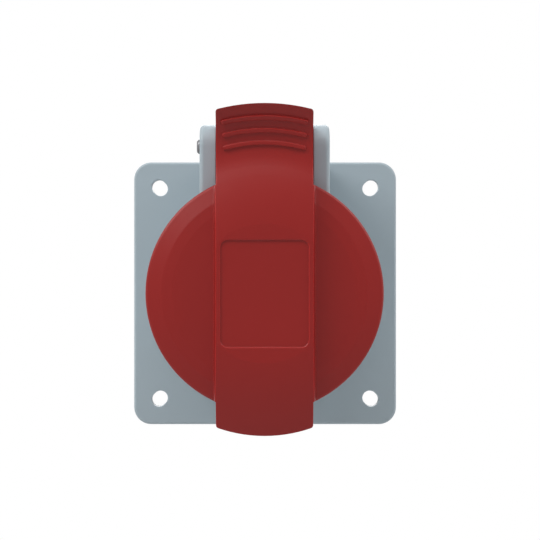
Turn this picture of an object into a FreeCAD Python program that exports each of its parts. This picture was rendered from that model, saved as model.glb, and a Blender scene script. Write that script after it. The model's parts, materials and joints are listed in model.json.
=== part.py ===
import FreeCAD, Part
import math
import os

import Sketcher

# Industrial panel socket, three phases with neutral and earth, with a sprung lid that is hinged on top.
# Millimetres. X runs to the right, Z up and Y to the rear, so the lid faces -Y.
# The origin is the centre of the mounting plane, at the rear of the flange's sealing ring.

os.makedirs("parts", exist_ok=True)
doc = FreeCAD.newDocument("panel_socket")
Vector = FreeCAD.Vector

# Driving dimensions

SIZES = {
    # Flange, its four fixing slots and the sealing ring behind it
    "flange_width": 87.0,
    "flange_thickness": 4.0,
    "flange_corner": 5.7,
    "flange_edge_chamfer": 0.5,
    "fixing_spacing": 70.0,
    "slot_width": 4.8,
    "slot_length": 5.6,
    "ring_thickness": 1.5,
    "ring_inset": 1.0,
    "ring_hole_width": 6.6,
    "ring_bore_play": 0.5,
    # Collar in front of the flange and the short spigot behind it
    "collar_bore": 65.5,
    "collar_wall": 2.75,
    "collar_depth": 41.5,
    "collar_rim_chamfer": 0.4,
    "keyway_width": 6.4,
    "keyway_depth": 1.2,
    "spigot_bore": 66.0,
    "spigot_wall": 2.4,
    "spigot_length": 8.0,
    # Hinge bracket, from the flange up to the pin
    "pin_rise": 46.03,
    "pin_height": 34.8,
    "pin_width": 4.5,
    "pin_proud": 1.0,
    "pin_end_chamfer": 0.5,
    "pin_seat_play": 0.03,
    "pin_blind_share": 0.7,
    "pin_end_play": 0.3,
    "bracket_width": 40.0,
    "bracket_gap": 30.0,
    "bracket_nose": 6.7,
    "bracket_slope": 17.0,
    "bracket_web": 2.5,
    "bracket_web_height": 22.0,
    "bracket_edge_round": 1.3,
    "bracket_floor": 1.4,
    # Lid
    "lid_rise": 0.67,
    "lid_gap": 0.4,
    "disc_width": 72.46,
    "disc_crown": 6.9,
    "disc_shoulder_radius": 28.0,
    "disc_shoulder": 5.65,
    "disc_slope_radius": 31.2,
    "disc_slope": 5.15,
    "disc_rim": 3.7,
    "disc_rim_chamfer": 0.5,
    "lid_wall": 2.7,
    "pan_radius": 30.4,
    "strap_corner": 1.0,
    "strap_foot_width": 30.7,
    "strap_foot": 6.2,
    "facet_radius": 20.76,
    "facet_height": 12.5,
    "dome_radius": 74.4,
    "dome_tilt": 5.1,
    "dome_end_tilt": 19.1,
    "scoop_radius": 18.64,
    "tab_radius": 56.9,
    "lip_radius": 43.0,
    "lid_skirt": 2.0,
    "label_width": 26.5,
    "label_length": 32.0,
    "label_corner": 2.3,
    "label_depth": 0.45,
    "rib_radius": 53.0,
    "rib_pitch": 3.8,
    "rib_width": 1.2,
    "rib_height": 0.7,
    "rib_half_length": 12.7,
    "rib_half_step": 0.3,
    "knuckle_radius": 6.2,
    "lid_side_play": 0.35,
    "knuckle_wall": 2.9,
    "arm_reach": 7.0,
    "tab_room_start": 5.6,
    "strap_room_reach": 28.9,
    "hinge_play": 0.08,
    "hinge_room_gap": 0.9,
    "hook_width": 10.0,
    "hook_inner": 26.6,
    "hook_outer": 29.8,
    "hook_drop": 5.2,
    # Seal in the lid
    "seal_inner": 31.9,
    "seal_outer": 35.3,
    "seal_depth": 1.6,
    "seal_proud": 0.2,
    # Insert that carries the contacts
    "insert_width": 55.6,
    "insert_play": 0.3,
    "insert_recess": 6.0,
    "insert_lip": 1.6,
    "insert_flange_width": 64.8,
    "insert_flange_thickness": 4.0,
    "terminal_width": 55.2,
    "terminal_length": 21.5,
    "terminal_lip": 1.8,
    "terminal_core": 6.0,
    "terminal_hollow": 14.0,
    "insert_edge_chamfer": 0.5,
    "scallop_circle": 31.4,
    "scallop_width": 18.0,
    "screw_circle": 30.2,
    "screw_width": 2.6,
    "screw_play": 0.2,
    "screw_head_width": 4.3,
    "screw_head_height": 1.8,
    "screw_length": 6.4,
    "screw_head_chamfer": 0.35,
    "screw_thread_depth": 3.0,
    "screw_slot": 0.7,
    "screw_slot_depth": 0.8,
    # Contacts
    "contact_circle": 18.0,
    "pole_pin": 6.0,
    "earth_pin": 8.0,
    "sleeve_play": 0.05,
    "sleeve_wall": 0.65,
    "sleeve_depth": 34.0,
    "sleeve_slit": 0.7,
    "sleeve_slit_depth": 14.0,
    "clip_wall": 0.5,
    "clip_length": 3.6,
    "clip_setback": 0.8,
    "clip_room": 0.15,
    "mouth_play": 0.3,
    "barrel_wall": 2.1,
    "barrel_play": 0.2,
    "wire_bore": 6.2,
    "wire_depth": 15.0,
    "clamp_screw_width": 4.0,
    "clamp_screw_length": 5.4,
    "clamp_screw_back": 8.0,
    "clamp_screw_sunk": 0.8,
    "clamp_access": 5.6,
    # Closing spring
    "spring_wire": 1.3,
    "spring_radius": 3.9,
    "spring_span": 7.2,
    "spring_turns": 3.0,
    "spring_frame_angle": 150.0,
    "spring_lid_angle": 95.0,
    "spring_lid_leg": 12.0,
    "spring_play": 0.15,
}

POLES = {"pe": 0, "l1": 1, "l2": 2, "l3": 3, "n": 4}
INSERT_SCREWS = 3
RIBS = 3
SPRING_WIRE_SIDES = 8

# A cut or a trimming block runs this many times as far as the solid that it goes through
PAST = 1.5

sheet = doc.addObject("Spreadsheet::Sheet", "Sizes")
for row, (name, number) in enumerate(SIZES.items(), start=1):
    sheet.set(f"A{row}", name)
    sheet.set(f"B{row}", str(number))
    sheet.setAlias(f"B{row}", name)
doc.recompute()


class Size:
    """A number together with the spreadsheet formula that gives it."""

    def __init__(self, value, text):
        self.value = value
        self.text = text

    def __add__(self, other):
        other = as_size(other)
        return Size(self.value + other.value, f"({self.text} + {other.text})")

    def __sub__(self, other):
        other = as_size(other)
        return Size(self.value - other.value, f"({self.text} - {other.text})")

    def __mul__(self, other):
        other = as_size(other)
        return Size(self.value * other.value, f"({self.text} * {other.text})")

    def __truediv__(self, other):
        other = as_size(other)
        return Size(self.value / other.value, f"({self.text} / {other.text})")

    def __neg__(self):
        return Size(-self.value, f"(0 - {self.text})")

    __radd__ = __add__
    __rmul__ = __mul__

    def __rsub__(self, other):
        return as_size(other) - self


def as_size(number):
    """Take a Size as it is and turn a plain number into one."""
    return number if isinstance(number, Size) else Size(float(number), f"{number:.6g}")


def size(name):
    """The spreadsheet cell of that name."""
    return Size(SIZES[name], f"Sizes.{name}")


def root(number):
    return Size(math.sqrt(number.value), f"sqrt({number.text})")


def cosine(angle):
    angle = as_size(angle)
    return Size(math.cos(math.radians(angle.value)), f"cos({angle.text} * 1 deg)")


def sine(angle):
    angle = as_size(angle)
    return Size(math.sin(math.radians(angle.value)), f"sin({angle.text} * 1 deg)")


# Sizes that follow from the driving dimensions

flange_back = -size("ring_thickness")
flange_front = flange_back - size("flange_thickness")
collar_radius = size("collar_bore") / 2
collar_outer = collar_radius + size("collar_wall")
collar_rim = flange_front - size("collar_depth")
spigot_radius = size("spigot_bore") / 2
spigot_outer = spigot_radius + size("spigot_wall")
spigot_end = flange_back + size("spigot_length")
pin_y = flange_front - size("pin_height")
pin_z = size("pin_rise")
pin_radius = size("pin_width") / 2
lid_back = collar_rim - size("lid_gap")
lid_side = size("bracket_gap") / 2 - size("lid_side_play")
insert_radius = size("insert_width") / 2
insert_face = collar_rim + size("insert_recess")
insert_rear = flange_back + size("insert_flange_thickness")
terminal_radius = size("terminal_width") / 2
terminal_rear = insert_rear + size("terminal_length")
barrel_front = flange_back + size("barrel_play")
barrel_rear = terminal_rear - size("terminal_lip") - size("barrel_play")
clamp_y = barrel_rear - size("clamp_screw_back")


# Helpers for sketches and features


def bind(item, prop, amount):
    """Tie a property to its formula."""
    item.setExpression(prop, as_size(amount).text)


def origin_plane(body, role):
    """One of the body's own origin planes."""
    for feature in body.Origin.OriginFeatures:
        if feature.Role == role:
            return feature
    raise RuntimeError(f"no {role}")


def place_sketch(sketch, body, role, offset=None):
    """Lay a sketch on an origin plane of its body, moved along the plane's normal by offset."""
    sketch.AttachmentSupport = [(origin_plane(body, role), "")]
    sketch.MapMode = "FlatFace"
    if offset is not None:
        bind(sketch, "AttachmentOffset.Base.z", offset)
    return sketch


def new_sketch(body, name, role, offset=None):
    return place_sketch(body.newObject("Sketcher::SketchObject", name), body, role, offset)


def hold(sketch, kind, first, second, amount):
    """Add a dimension to a sketch and tie it to its formula."""
    amount = as_size(amount)
    where = first + second
    index = sketch.addConstraint(Sketcher.Constraint(kind, *where, amount.value))
    name = f"dimension{index}"
    sketch.renameConstraint(index, name)
    sketch.setExpression(f"Constraints.{name}", amount.text)


def hold_point(sketch, geometry, point, place):
    hold(sketch, "DistanceX", (-1, 1), (geometry, point), place[0])
    hold(sketch, "DistanceY", (-1, 1), (geometry, point), place[1])


def arc_between(first, last, radius):
    """The arc under half a turn from first to last; a positive radius turns left and a negative one right."""
    if radius < 0:
        return arc_between(last, first, -radius)
    chord = last - first
    lift = math.sqrt(max(radius * radius - chord.Length * chord.Length / 4, 0.0))
    left = Vector(-chord.y, chord.x, 0).normalize()
    centre = (first + last) / 2 + left * lift
    start = math.atan2(first.y - centre.y, first.x - centre.x)
    end = math.atan2(last.y - centre.y, last.x - centre.x)
    return Part.ArcOfCircle(Part.Circle(centre, Vector(0, 0, 1), radius), start, end)


def outline(sketch, corners):
    """Close a loop through corners. A corner is (x, y), or (x, y, radius) where an arc leaves it."""
    corners = [tuple(as_size(number) for number in corner) for corner in corners]
    points = [Vector(corner[0].value, corner[1].value, 0) for corner in corners]
    base = sketch.GeometryCount
    ends = []
    for index, corner in enumerate(corners):
        first = points[index]
        last = points[(index + 1) % len(points)]
        if len(corner) == 2:
            sketch.addGeometry(Part.LineSegment(first, last), False)
            ends.append((1, 2))
        else:
            sketch.addGeometry(arc_between(first, last, corner[2].value), False)
            ends.append((1, 2) if corner[2].value > 0 else (2, 1))
    for index in range(len(corners)):
        following = (index + 1) % len(corners)
        sketch.addConstraint(
            Sketcher.Constraint("Coincident", base + index, ends[index][1], base + following, ends[following][0])
        )
    for index, corner in enumerate(corners):
        hold_point(sketch, base + index, ends[index][0], corner)
        if len(corner) == 3:
            radius = corner[2] if corner[2].value > 0 else -corner[2]
            hold(sketch, "Radius", (base + index,), (), radius)


def circle(sketch, centre, radius):
    """Add a circle at a centre with a radius."""
    centre = tuple(as_size(number) for number in centre)
    radius = as_size(radius)
    place = Vector(centre[0].value, centre[1].value, 0)
    index = sketch.addGeometry(Part.Circle(place, Vector(0, 0, 1), radius.value), False)
    hold_point(sketch, index, 3, centre)
    hold(sketch, "Radius", (index,), (), radius)


def box_outline(left, bottom, right, top):
    return [(left, bottom), (right, bottom), (right, top), (left, top)]


def rounded_box(half_width, half_height, corner):
    """A rectangle about the origin with round corners, run anticlockwise."""
    inner_x = half_width - corner
    inner_y = half_height - corner
    return [
        (-inner_x, -half_height),
        (inner_x, -half_height, corner),
        (half_width, -inner_y),
        (half_width, inner_y, corner),
        (inner_x, half_height),
        (-inner_x, half_height, corner),
        (-half_width, inner_y),
        (-half_width, -inner_y, corner),
    ]


def diagonal_slot(side_x, side_z, half_spacing, half_width, half_length):
    """A slot at one corner of the fixing square, which runs along the square's diagonal."""
    slant = math.sqrt(0.5)
    along = (side_x * slant, side_z * slant)
    across = (-along[1], along[0])
    straight = half_length - half_width

    def point(run, offset):
        return (
            side_x * half_spacing + run * along[0] + offset * across[0],
            side_z * half_spacing + run * along[1] + offset * across[1],
        )

    return [
        point(straight, -half_width) + (half_width,),
        point(half_length, as_size(0)) + (half_width,),
        point(straight, half_width),
        point(-straight, half_width) + (half_width,),
        point(-half_length, as_size(0)) + (half_width,),
        point(-straight, -half_width),
    ]


def new_body(name):
    body = doc.addObject("PartDesign::Body", name)
    body.Label = name
    return body


def pad(body, name, sketch, length, reverse=False, both_ways=False):
    feature = body.newObject("PartDesign::Pad", name)
    feature.Profile = sketch
    feature.Reversed = reverse
    feature.Midplane = both_ways
    bind(feature, "Length", length)
    sketch.Visibility = False
    return feature


def pocket(body, name, sketch, length, reverse=False, both_ways=False):
    """Cut a sketch's outline out of the body, and check that something was cut."""
    doc.recompute()
    before = body.Shape.Volume
    feature = body.newObject("PartDesign::Pocket", name)
    feature.Profile = sketch
    feature.Reversed = reverse
    feature.Midplane = both_ways
    bind(feature, "Length", length)
    sketch.Visibility = False
    doc.recompute()
    if body.Shape.Volume >= before:
        raise RuntimeError(f"{name} cut nothing")
    return feature


def turn(body, name, sketch, cut=False):
    """Turn a sketch in the XY plane about the Y axis, to add or to cut."""
    kind = "PartDesign::Groove" if cut else "PartDesign::Revolution"
    feature = body.newObject(kind, name)
    feature.Profile = sketch
    feature.ReferenceAxis = (sketch, ["V_Axis"])
    feature.Angle = 360.0
    sketch.Visibility = False
    return feature


def dress_edges(body, name, kind, amount, wanted):
    """Put a Fillet or a Chamfer on the edges of the body's tip that wanted picks."""
    doc.recompute()
    tip = body.Tip
    names = [f"Edge{i}" for i, edge in enumerate(tip.Shape.Edges, start=1) if wanted(edge)]
    if not names:
        raise RuntimeError(f"{name} found no edge")
    feature = body.newObject(f"PartDesign::{kind}", name)
    feature.Base = (tip, names)
    bind(feature, "Radius" if kind == "Fillet" else "Size", amount)
    return feature


def polar_pattern(body, name, features, count):
    """Repeat features about the Y axis."""
    doc.recompute()
    pattern = body.newObject("PartDesign::PolarPattern", name)
    pattern.Originals = features
    pattern.Axis = (origin_plane(body, "Y_Axis"), [""])
    pattern.Angle = 360.0
    pattern.Occurrences = count
    body.Tip = pattern
    doc.recompute()
    return pattern


def near(a, b, room=0.01):
    return abs(a - b) < room


# Housing: flange, collar, spigot and hinge bracket in one moulding


def make_housing():
    body = new_body("housing")
    half = size("flange_width") / 2
    plate = new_sketch(body, "flange_outline", "XZ_Plane", -flange_back)
    outline(plate, rounded_box(half, half, size("flange_corner")))
    circle(plate, (0, 0), insert_radius + size("insert_play"))
    pad(body, "flange", plate, size("flange_thickness"))
    dress_edges(
        body,
        "flange_front_edge",
        "Chamfer",
        size("flange_edge_chamfer"),
        lambda edge: near(edge.BoundBox.YMin, flange_front.value)
        and near(edge.BoundBox.YMax, flange_front.value)
        and math.hypot(edge.CenterOfMass.x, edge.CenterOfMass.z) > insert_radius.value,
    )

    side = new_sketch(body, "bracket_side", "YZ_Plane")
    nose = size("bracket_nose")
    slope = size("bracket_slope")
    drop = sine(slope) / cosine(slope)
    nose_y = pin_y + nose * sine(slope)
    nose_z = pin_z + nose * cosine(slope)
    foot_z = nose_z - (flange_front - nose_y) * drop
    root_z = collar_radius / 2
    outline(
        side,
        [
            (flange_front, root_z),
            (flange_front, foot_z),
            (nose_y, nose_z, nose),
            (pin_y - nose, pin_z),
            (pin_y - nose, root_z),
        ],
    )
    pad(body, "bracket", side, size("bracket_width"), both_ways=True)
    outer = SIZES["bracket_width"] / 2
    dress_edges(
        body,
        "bracket_edges",
        "Fillet",
        size("bracket_edge_round"),
        lambda edge: near(abs(edge.BoundBox.XMin), outer)
        and near(abs(edge.BoundBox.XMax), outer)
        and edge.BoundBox.ZMax > root_z.value + 1
        and edge.CenterOfMass.y < flange_front.value - 1,
    )

    gap = new_sketch(body, "bracket_gap_side", "YZ_Plane")
    web = size("bracket_web") / cosine(slope)
    web_top_y = flange_front - size("bracket_web_height")
    floor_y = flange_front - size("bracket_floor")
    seat_z = collar_radius + size("bracket_floor")
    inner_z = foot_z - web
    clear_z = pin_z + nose * 2
    clear_y = pin_y - nose * 2
    outline(
        gap,
        [
            (floor_y, seat_z),
            (floor_y, inner_z + size("bracket_floor") * drop),
            (web_top_y, inner_z + size("bracket_web_height") * drop),
            (web_top_y, clear_z),
            (clear_y, clear_z),
            (clear_y, seat_z),
        ],
    )
    pocket(body, "bracket_gap", gap, size("bracket_gap"), both_ways=True)

    ring = new_sketch(body, "collar_section", "XY_Plane")
    outline(
        ring,
        [
            (insert_radius + size("insert_play"), flange_front),
            (insert_radius + size("insert_play"), flange_back),
            (spigot_radius, flange_back),
            (spigot_radius, spigot_end),
            (spigot_outer, spigot_end),
            (spigot_outer, flange_front),
            (collar_outer, flange_front),
            (collar_outer, collar_rim + size("collar_rim_chamfer")),
            (collar_outer - size("collar_rim_chamfer"), collar_rim),
            (collar_radius + size("collar_rim_chamfer"), collar_rim),
            (collar_radius, collar_rim + size("collar_rim_chamfer")),
            (collar_radius, flange_front),
        ],
    )
    turn(body, "collar", ring)
    inside = new_sketch(body, "collar_bore_section", "XY_Plane")
    outline(
        inside,
        box_outline(0, collar_rim - size("bracket_nose"), collar_radius, flange_front),
    )
    turn(body, "collar_bore", inside, cut=True)

    bore = new_sketch(body, "pin_bore_outline", "YZ_Plane")
    circle(bore, (pin_y, pin_z), pin_radius + size("pin_seat_play"))
    half_gap = size("bracket_gap") / 2
    ear = (size("bracket_width") - size("bracket_gap")) / 2
    pocket(body, "pin_bore_left", bore, size("bracket_width"))
    blind = new_sketch(body, "pin_bore_blind_outline", "YZ_Plane")
    circle(blind, (pin_y, pin_z), pin_radius + size("pin_seat_play"))
    pocket(body, "pin_bore_right", blind, half_gap + ear * size("pin_blind_share"), reverse=True)

    key = new_sketch(body, "keyway_outline", "XZ_Plane", -flange_front)
    half_key = size("keyway_width") / 2
    outline(
        key,
        box_outline(
            -half_key,
            -(collar_radius + size("keyway_depth")),
            half_key,
            -(collar_radius - size("keyway_depth")),
        ),
    )
    pocket(body, "keyway", key, size("collar_depth"), reverse=True)

    for number, (side_x, side_z) in enumerate(((1, 1), (1, -1), (-1, -1), (-1, 1)), start=1):
        slot = new_sketch(body, f"fixing_slot_outline{number}", "XZ_Plane", -flange_back)
        outline(
            slot,
            diagonal_slot(
                side_x, side_z, size("fixing_spacing") / 2, size("slot_width") / 2, size("slot_length") / 2
            ),
        )
        pocket(body, f"fixing_slot{number}", slot, size("flange_thickness"), reverse=True)

    screw = new_sketch(body, "insert_screw_hole_outline", "XZ_Plane", -flange_back)
    circle(screw, (0, size("screw_circle")), size("screw_width") / 2)
    hole = pocket(body, "insert_screw_hole", screw, size("screw_thread_depth"), reverse=True)
    polar_pattern(body, "insert_screw_holes", [hole], INSERT_SCREWS)

    return body


# Sealing ring between the flange and the panel


def make_flange_ring():
    body = new_body("flange_seal")
    half = size("flange_width") / 2 - size("ring_inset")
    sketch = new_sketch(body, "flange_seal_outline", "XZ_Plane")
    outline(sketch, rounded_box(half, half, size("flange_corner") - size("ring_inset")))
    circle(sketch, (0, 0), spigot_outer + size("ring_bore_play"))
    reach = size("fixing_spacing") / 2
    for side_x, side_z in ((1, 1), (1, -1), (-1, -1), (-1, 1)):
        circle(sketch, (side_x * reach, side_z * reach), size("ring_hole_width") / 2)
    pad(body, "flange_seal_ring", sketch, size("ring_thickness"))
    return body


# Insert: the front body that holds the contact sleeves and the rear body that holds their terminals


def pole_radius(name):
    """Half the diameter of the plug pin that a contact takes."""
    return size("earth_pin" if name == "pe" else "pole_pin") / 2


def sleeve_radius(name):
    return pole_radius(name) + size("sleeve_play") + size("sleeve_wall")


def barrel_radius(name):
    return size("wire_bore") / 2 + size("barrel_wall") + pole_radius(name) - size("pole_pin") / 2


def clip_radius(name):
    return sleeve_radius(name) + size("clip_wall")


def contact_holes(body, name, radius_of, rear, depth):
    """Five round holes from a rear plane forward, the one at six o'clock sized for the earth contact."""
    low = -size("contact_circle")
    pole = new_sketch(body, f"{name}_pole_outline", "XZ_Plane", -rear)
    circle(pole, (0, low), radius_of("l1"))
    hole = pocket(body, f"{name}_pole", pole, depth, reverse=True)
    polar_pattern(body, f"{name}_poles", [hole], len(POLES))
    earth = new_sketch(body, f"{name}_earth_outline", "XZ_Plane", -rear)
    circle(earth, (0, low), radius_of("pe"))
    pocket(body, f"{name}_earth", earth, depth, reverse=True)


def make_carriers():
    """The round body in the collar, with a mouth for each pin and room for its sleeve and clip."""
    body = new_body("carrier_round")
    core = new_sketch(body, "carrier_outline", "XZ_Plane", -flange_back)
    circle(core, (0, 0), insert_radius)
    depth = flange_back - insert_face
    pad(body, "carrier_core", core, depth)
    contact_holes(
        body,
        "sleeve_room",
        lambda name: clip_radius(name) + size("clip_room"),
        flange_back,
        depth - size("insert_lip"),
    )
    contact_holes(
        body,
        "mouth",
        lambda name: pole_radius(name) + size("mouth_play"),
        flange_back,
        depth * PAST,
    )
    dress_edges(
        body,
        "carrier_front_edge",
        "Chamfer",
        size("insert_edge_chamfer"),
        lambda edge: near(edge.BoundBox.YMin, insert_face.value)
        and near(edge.BoundBox.YMax, insert_face.value)
        and near(edge.Length, 2 * math.pi * insert_radius.value),
    )
    return body


def make_insert_flange():
    """The disc that the carriers rest on, which is screwed to the housing from behind."""
    body = new_body("insert_flange")
    disc = new_sketch(body, "insert_flange_outline", "XZ_Plane", -insert_rear)
    circle(disc, (0, 0), size("insert_flange_width") / 2)
    thickness = size("insert_flange_thickness")
    pad(body, "insert_flange_disc", disc, thickness)
    contact_holes(
        body,
        "barrel_way",
        lambda name: barrel_radius(name) + size("barrel_play"),
        insert_rear,
        thickness * PAST,
    )
    screw = new_sketch(body, "insert_screw_outline", "XZ_Plane", -insert_rear)
    circle(screw, (0, size("screw_circle")), size("screw_width") / 2 + size("screw_play"))
    hole = pocket(body, "insert_screw_way", screw, thickness * PAST, reverse=True)
    polar_pattern(body, "insert_screw_ways", [hole], INSERT_SCREWS)
    return body


def make_terminal_block():
    """The lobed block behind the flange, with a room for each barrel and a way in to its clamping screw."""
    body = new_body("terminal_block")
    length = size("terminal_length")
    core = new_sketch(body, "terminal_outline", "XZ_Plane", -terminal_rear)
    circle(core, (0, 0), terminal_radius)
    pad(body, "terminal_core_disc", core, length)
    scallop = new_sketch(body, "scallop_outline", "XZ_Plane", -terminal_rear)
    half_step = 180 / len(POLES)
    reach = size("scallop_circle")
    circle(scallop, (reach * sine(half_step), -reach * cosine(half_step)), size("scallop_width") / 2)
    hole = pocket(body, "scallop", scallop, length, reverse=True)
    polar_pattern(body, "scallops", [hole], len(POLES))
    hollow = new_sketch(body, "terminal_hollow_outline", "XZ_Plane", -terminal_rear)
    circle(hollow, (0, 0), size("terminal_core"))
    pocket(body, "terminal_hollow", hollow, size("terminal_hollow"), reverse=True)
    contact_holes(
        body,
        "barrel_room",
        lambda name: barrel_radius(name) + size("barrel_play"),
        terminal_rear - size("terminal_lip"),
        length * PAST,
    )
    entry = new_sketch(body, "wire_entry_outline", "XZ_Plane", -terminal_rear)
    circle(entry, (0, -size("contact_circle")), size("wire_bore") / 2 + size("mouth_play"))
    hole = pocket(body, "wire_entry", entry, length, reverse=True)
    polar_pattern(body, "wire_entries", [hole], len(POLES))
    access = new_sketch(body, "clamp_access_outline", "XY_Plane", -size("contact_circle"))
    circle(access, (0, clamp_y), size("clamp_access") / 2)
    hole = pocket(body, "clamp_access", access, terminal_radius)
    polar_pattern(body, "clamp_accesses", [hole], len(POLES))
    return body


def cell(name, whole, number, start, reach):
    """One contact's segment of a round body, which meets its neighbours midway between the contacts."""
    span = 360.0 / len(POLES)
    wedge = doc.addObject("Part::Cylinder", f"{name}_wedge")
    wedge.Angle = span
    bind(wedge, "Radius", insert_radius * PAST)
    bind(wedge, "Height", reach)
    lie_down = FreeCAD.Rotation(Vector(1, 0, 0), -90)
    turn_to_pole = FreeCAD.Rotation(Vector(0, 1, 0), 90.0 - span / 2 + span * number)
    wedge.Placement = FreeCAD.Placement(Vector(0, start.value, 0), turn_to_pole.multiply(lie_down))
    item = common(name, whole, wedge)
    item.Label = name
    return item


def turned_about_axis(item, number, count, start=180.0):
    """Set a piece that was drawn at twelve o'clock round the socket's axis, clockwise from the front."""
    angle = start + 360.0 * number / count
    item.Placement = FreeCAD.Placement(Vector(0, 0, 0), FreeCAD.Rotation(Vector(0, 1, 0), angle))


def make_contact(name):
    """One turned contact: a slit sleeve for the plug pin and a barrel for the wire."""
    body = new_body(f"contact_{name}")
    away = size("contact_circle")
    inner = pole_radius(name) + size("sleeve_play")
    sleeve = sleeve_radius(name)
    barrel = barrel_radius(name)
    front = insert_face + size("insert_lip")
    wire = size("wire_bore") / 2
    section = new_sketch(body, f"contact_{name}_section", "XY_Plane", away)
    outline(
        section,
        [
            (0, front + size("sleeve_depth")),
            (inner, front + size("sleeve_depth")),
            (inner, front),
            (sleeve, front),
            (sleeve, barrel_front),
            (barrel, barrel_front),
            (barrel, barrel_rear),
            (wire, barrel_rear),
            (wire, barrel_rear - size("wire_depth")),
            (0, barrel_rear - size("wire_depth")),
        ],
    )
    turn(body, f"contact_{name}_turning", section)
    half_slit = size("sleeve_slit") / 2
    cross = new_sketch(body, f"contact_{name}_slit_outline", "XZ_Plane", -front)
    outline(cross, box_outline(-half_slit, away - sleeve * PAST, half_slit, away + sleeve * PAST))
    pocket(body, f"contact_{name}_slit", cross, size("sleeve_slit_depth"), reverse=False)
    thread = new_sketch(body, f"contact_{name}_thread_outline", "XY_Plane", away + barrel * PAST)
    circle(thread, (0, clamp_y), size("clamp_screw_width") / 2)
    pocket(body, f"contact_{name}_thread", thread, barrel * PAST)
    return body


def make_clip(name):
    """The open spring ring that closes a contact sleeve on the pin."""
    body = new_body(f"contact_clip_{name}")
    away = size("contact_circle")
    front = insert_face + size("insert_lip") + size("clip_setback")
    sketch = new_sketch(body, f"clip_{name}_outline", "XZ_Plane", -(front + size("clip_length")))
    circle(sketch, (0, away), clip_radius(name))
    circle(sketch, (0, away), sleeve_radius(name))
    pad(body, f"clip_{name}_ring", sketch, size("clip_length"))
    half_slit = size("sleeve_slit") / 2
    split = new_sketch(body, f"clip_{name}_split_outline", "XZ_Plane", -(front + size("clip_length")))
    outline(split, box_outline(-half_slit, away, half_slit, away + clip_radius(name) * PAST))
    pocket(body, f"clip_{name}_split", split, size("clip_length"), reverse=True)
    return body


def make_clamp_screw(name):
    """The slotted screw that clamps the wire in a contact's barrel."""
    body = new_body(f"clamp_screw_{name}")
    foot = size("contact_circle") + size("wire_bore") / 2 - size("clamp_screw_sunk")
    sketch = new_sketch(body, f"clamp_screw_{name}_outline", "XY_Plane", foot)
    circle(sketch, (0, clamp_y), size("clamp_screw_width") / 2)
    pad(body, f"clamp_screw_{name}_shank", sketch, size("clamp_screw_length"))
    half_slot = size("screw_slot") / 2
    top = foot + size("clamp_screw_length")
    groove = new_sketch(body, f"clamp_screw_{name}_slot_outline", "XY_Plane", top)
    reach = size("clamp_screw_width")
    outline(groove, box_outline(-half_slot, clamp_y - reach, half_slot, clamp_y + reach))
    pocket(body, f"clamp_screw_{name}_slot", groove, size("screw_slot_depth"))
    return body


def make_insert_screw(number):
    """One of the three screws that hold the insert to the flange from behind."""
    body = new_body(f"insert_screw_{number}")
    away = size("screw_circle")
    head = insert_rear + size("screw_head_height")
    section = new_sketch(body, f"insert_screw_{number}_section", "XY_Plane", away)
    shank = size("screw_width") / 2
    outline(
        section,
        [
            (0, head - size("screw_length") - size("screw_head_height")),
            (shank, head - size("screw_length") - size("screw_head_height")),
            (shank, insert_rear),
            (size("screw_head_width") / 2, insert_rear),
            (size("screw_head_width") / 2, head - size("screw_head_chamfer")),
            (size("screw_head_width") / 2 - size("screw_head_chamfer"), head),
            (0, head),
        ],
    )
    turn(body, f"insert_screw_{number}_turning", section)
    half_slot = size("screw_slot") / 2
    groove = new_sketch(body, f"insert_screw_{number}_slot_outline", "XZ_Plane", -head)
    reach = size("screw_head_width")
    outline(groove, box_outline(-half_slot, away - reach, half_slot, away + reach))
    pocket(body, f"insert_screw_{number}_slot", groove, size("screw_slot_depth"), reverse=True)
    return body


def group(name, items):
    """Several like solids that share one node."""
    whole = doc.addObject("Part::Compound", name)
    whole.Label = name
    whole.Links = items
    return whole


# Hinge pin


def make_pin():
    body = new_body("hinge_pin")
    left = size("bracket_width") / 2 + size("pin_proud")
    ear = (size("bracket_width") - size("bracket_gap")) / 2
    right = size("bracket_gap") / 2 + ear * size("pin_blind_share") - size("pin_end_play")
    sketch = new_sketch(body, "hinge_pin_outline", "YZ_Plane", -left)
    circle(sketch, (pin_y, pin_z), pin_radius)
    pad(body, "hinge_pin_rod", sketch, left + right)
    dress_edges(
        body,
        "hinge_pin_end",
        "Chamfer",
        size("pin_end_chamfer"),
        lambda edge: near(edge.BoundBox.XMax, -left.value),
    )
    return body


# Lid: a disc with a strap across it, a finger tab, the hinge knuckles and the hook that keeps a plug in


def front(amount):
    """A place so far in front of the lid's rear face."""
    return lid_back - amount


def lid_revolve(name, corners):
    """A solid turned about the lid's axis."""
    body = new_body(name)
    sketch = new_sketch(body, f"{name}_section", "XY_Plane", size("lid_rise"))
    outline(sketch, corners)
    turn(body, f"{name}_turning", sketch)
    return body


def block(name, left, right, rear, ahead, low, high):
    """A box that runs from left to right, from its rear face to the one ahead, and from low to high."""
    item = doc.addObject("Part::Box", name)
    bind(item, "Length", as_size(right) - left)
    bind(item, "Width", as_size(rear) - ahead)
    bind(item, "Height", as_size(high) - low)
    bind(item, "Placement.Base.x", left)
    bind(item, "Placement.Base.y", ahead)
    bind(item, "Placement.Base.z", low)
    return item


def common(name, first, second):
    item = doc.addObject("Part::Common", name)
    item.Base = first
    item.Tool = second
    return item


def cut(name, first, second):
    """Take one solid from another, and check that something was cut."""
    item = doc.addObject("Part::Cut", name)
    item.Base = first
    item.Tool = second
    doc.recompute()
    if item.Shape.Volume >= first.Shape.Volume:
        raise RuntimeError(f"{name} cut nothing")
    return item


def fuse(name, items):
    item = doc.addObject("Part::MultiFuse", name)
    item.Shapes = items
    item.Refine = True
    return item


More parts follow.
